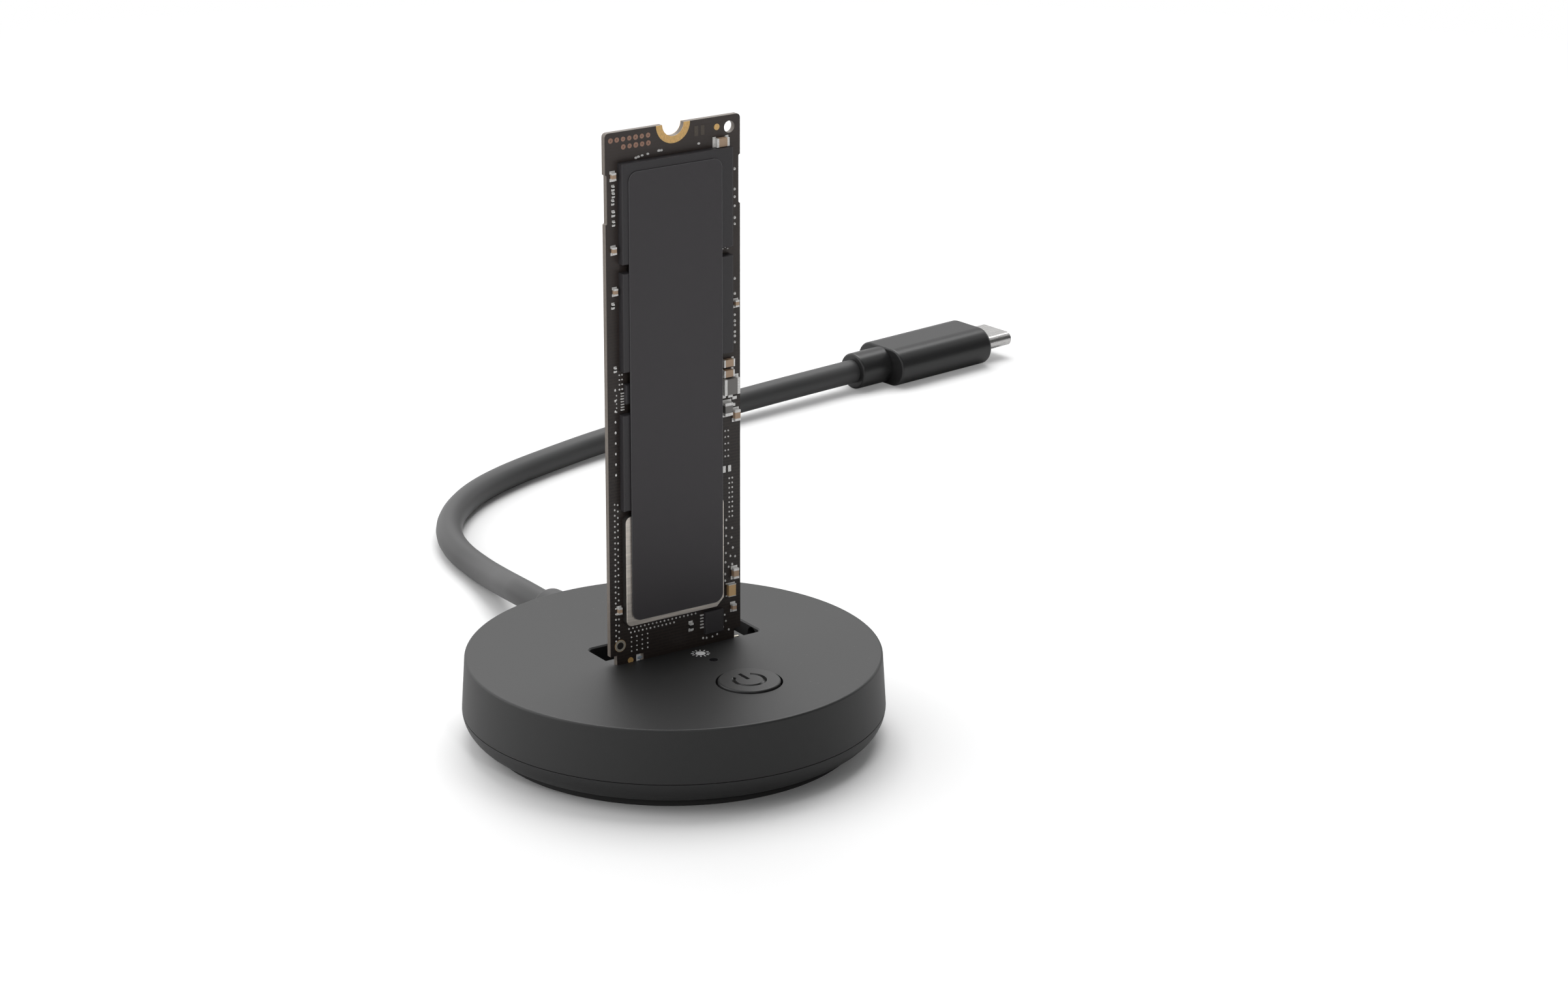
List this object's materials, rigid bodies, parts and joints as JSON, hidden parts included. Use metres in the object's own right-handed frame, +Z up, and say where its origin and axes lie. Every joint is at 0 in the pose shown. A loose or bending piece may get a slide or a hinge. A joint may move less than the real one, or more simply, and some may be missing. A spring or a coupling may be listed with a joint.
{
  "type": "ssd docking station",
  "caption": "Low round docking base with a top slot that holds a bare solid-state drive card upright, a power button, a status light and a short captive cable with a reversible plug.",
  "frame": {"origin": "on the floor, under the centre of the round body", "axes": "+Z up; +X along the drive slot; the power button is toward -Y and the cable leaves at +Y"},
  "size_m": [0.1816, 0.1596, 0.0899],
  "materials": {
    "shell_plastic": "fine matt texture",
    "button_plastic": "fine matt texture",
    "foot_rubber": "matt",
    "board_laminate": "solder mask",
    "connector_plastic": "smooth moulded",
    "gold_plating": "gold plated",
    "chip_resin": "fine matt moulded",
    "ferrite": "sintered",
    "can_steel": "drawn can",
    "ceramic": "fired ceramic with tinned ends",
    "switch_steel": "pressed sheet",
    "switch_plastic": "smooth moulded",
    "light_guide": "clear moulded",
    "cable_rubber": "satin elastomer",
    "conductor_jacket": "extruded",
    "plug_plastic": "satin moulded",
    "plug_steel": "drawn and nickel plated",
    "screw_steel": "zinc plated",
    "card_laminate": "black solder mask",
    "lid_metal": "nickel plated, matt",
    "label_film": "matt film"
  },
  "bodies": {
    "dock": {"base_shell": "shell_plastic", "board_capacitors": "ceramic", "board_screw_1": "screw_steel", "board_screw_2": "screw_steel", "board_screw_3": "screw_steel", "board_screw_4": "screw_steel", "bridge_chip": "chip_resin", "cable_conductors": "conductor_jacket", "connector_contacts": "gold_plating", "connector_housing": "connector_plastic", "crystal": "can_steel", "foot_ring": "foot_rubber", "light_guide": "light_guide", "main_board": "board_laminate", "plug_contacts": "gold_plating", "plug_insert": "chip_resin", "plug_overmould": "plug_plastic", "plug_shell": "plug_steel", "power_choke": "ferrite", "regulator_chip": "chip_resin", "shell_screw_1": "screw_steel", "shell_screw_2": "screw_steel", "shell_screw_3": "screw_steel", "status_led": "light_guide", "strain_relief": "cable_rubber", "switch_body": "switch_steel", "top_shell": "shell_plastic", "usb_cable": "cable_rubber"},
    "button": {"power_button": "button_plastic", "switch_plunger": "switch_plastic"},
    "drive": {"drive_board": "card_laminate", "drive_capacitors": "ceramic", "drive_coil": "ferrite", "drive_contacts": "gold_plating", "drive_controller": "chip_resin", "drive_flash_lower": "chip_resin", "drive_flash_upper": "chip_resin", "drive_label": "label_film", "drive_lid": "lid_metal", "drive_memory": "chip_resin", "drive_mount_ring": "gold_plating", "drive_pads": "gold_plating", "drive_power_converter": "chip_resin", "drive_power_supply": "chip_resin"}
  },
  "joints": [
    {"name": "button_press", "type": "slide", "parent": "dock", "child": "button", "axis": [0, 0, -1], "range_m": [0, 0.0003], "stiffness_N_per_m": 2000},
    {"name": "drive_pull", "type": "slide", "parent": "dock", "child": "drive", "axis": [0, 0, 1], "range_m": [0, 0.012]}
  ]
}
